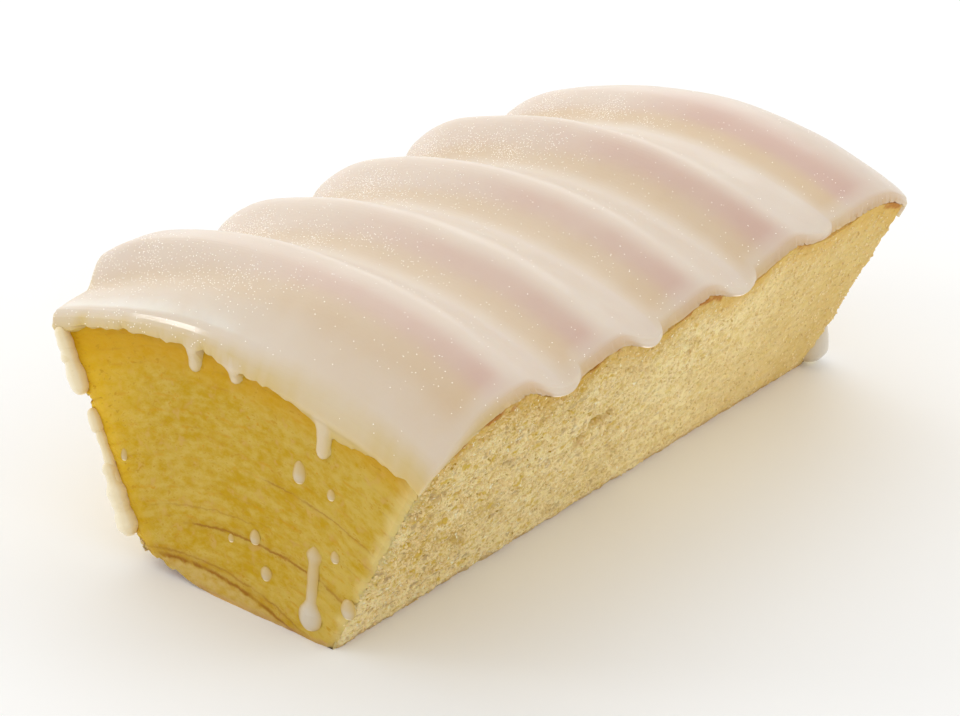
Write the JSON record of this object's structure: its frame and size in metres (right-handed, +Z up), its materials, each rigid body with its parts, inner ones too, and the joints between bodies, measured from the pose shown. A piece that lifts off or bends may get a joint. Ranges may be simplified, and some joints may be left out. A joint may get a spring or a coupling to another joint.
{
  "type": "baumkuchen piece",
  "caption": "Block cut from a ridged ring cake, with slanted cut sides of layered yellow crumb, under a poured white sugar glaze that pools between the ridges and drips over its edges.",
  "frame": {"origin": "middle of the part's box on the surface that it stands on", "axes": "+X along the log, from the near cut with the drips to the far cut, +Y to the left cut, +Z up to the ridges"},
  "size_m": [0.1438, 0.087, 0.0552],
  "materials": {
    "crumb": "open yellow crumb with fine baked layers",
    "glaze": "translucent white sugar glaze, satin"
  },
  "bodies": {
    "root": {"cake": "crumb", "glaze": "glaze"}
  },
  "joints": []
}
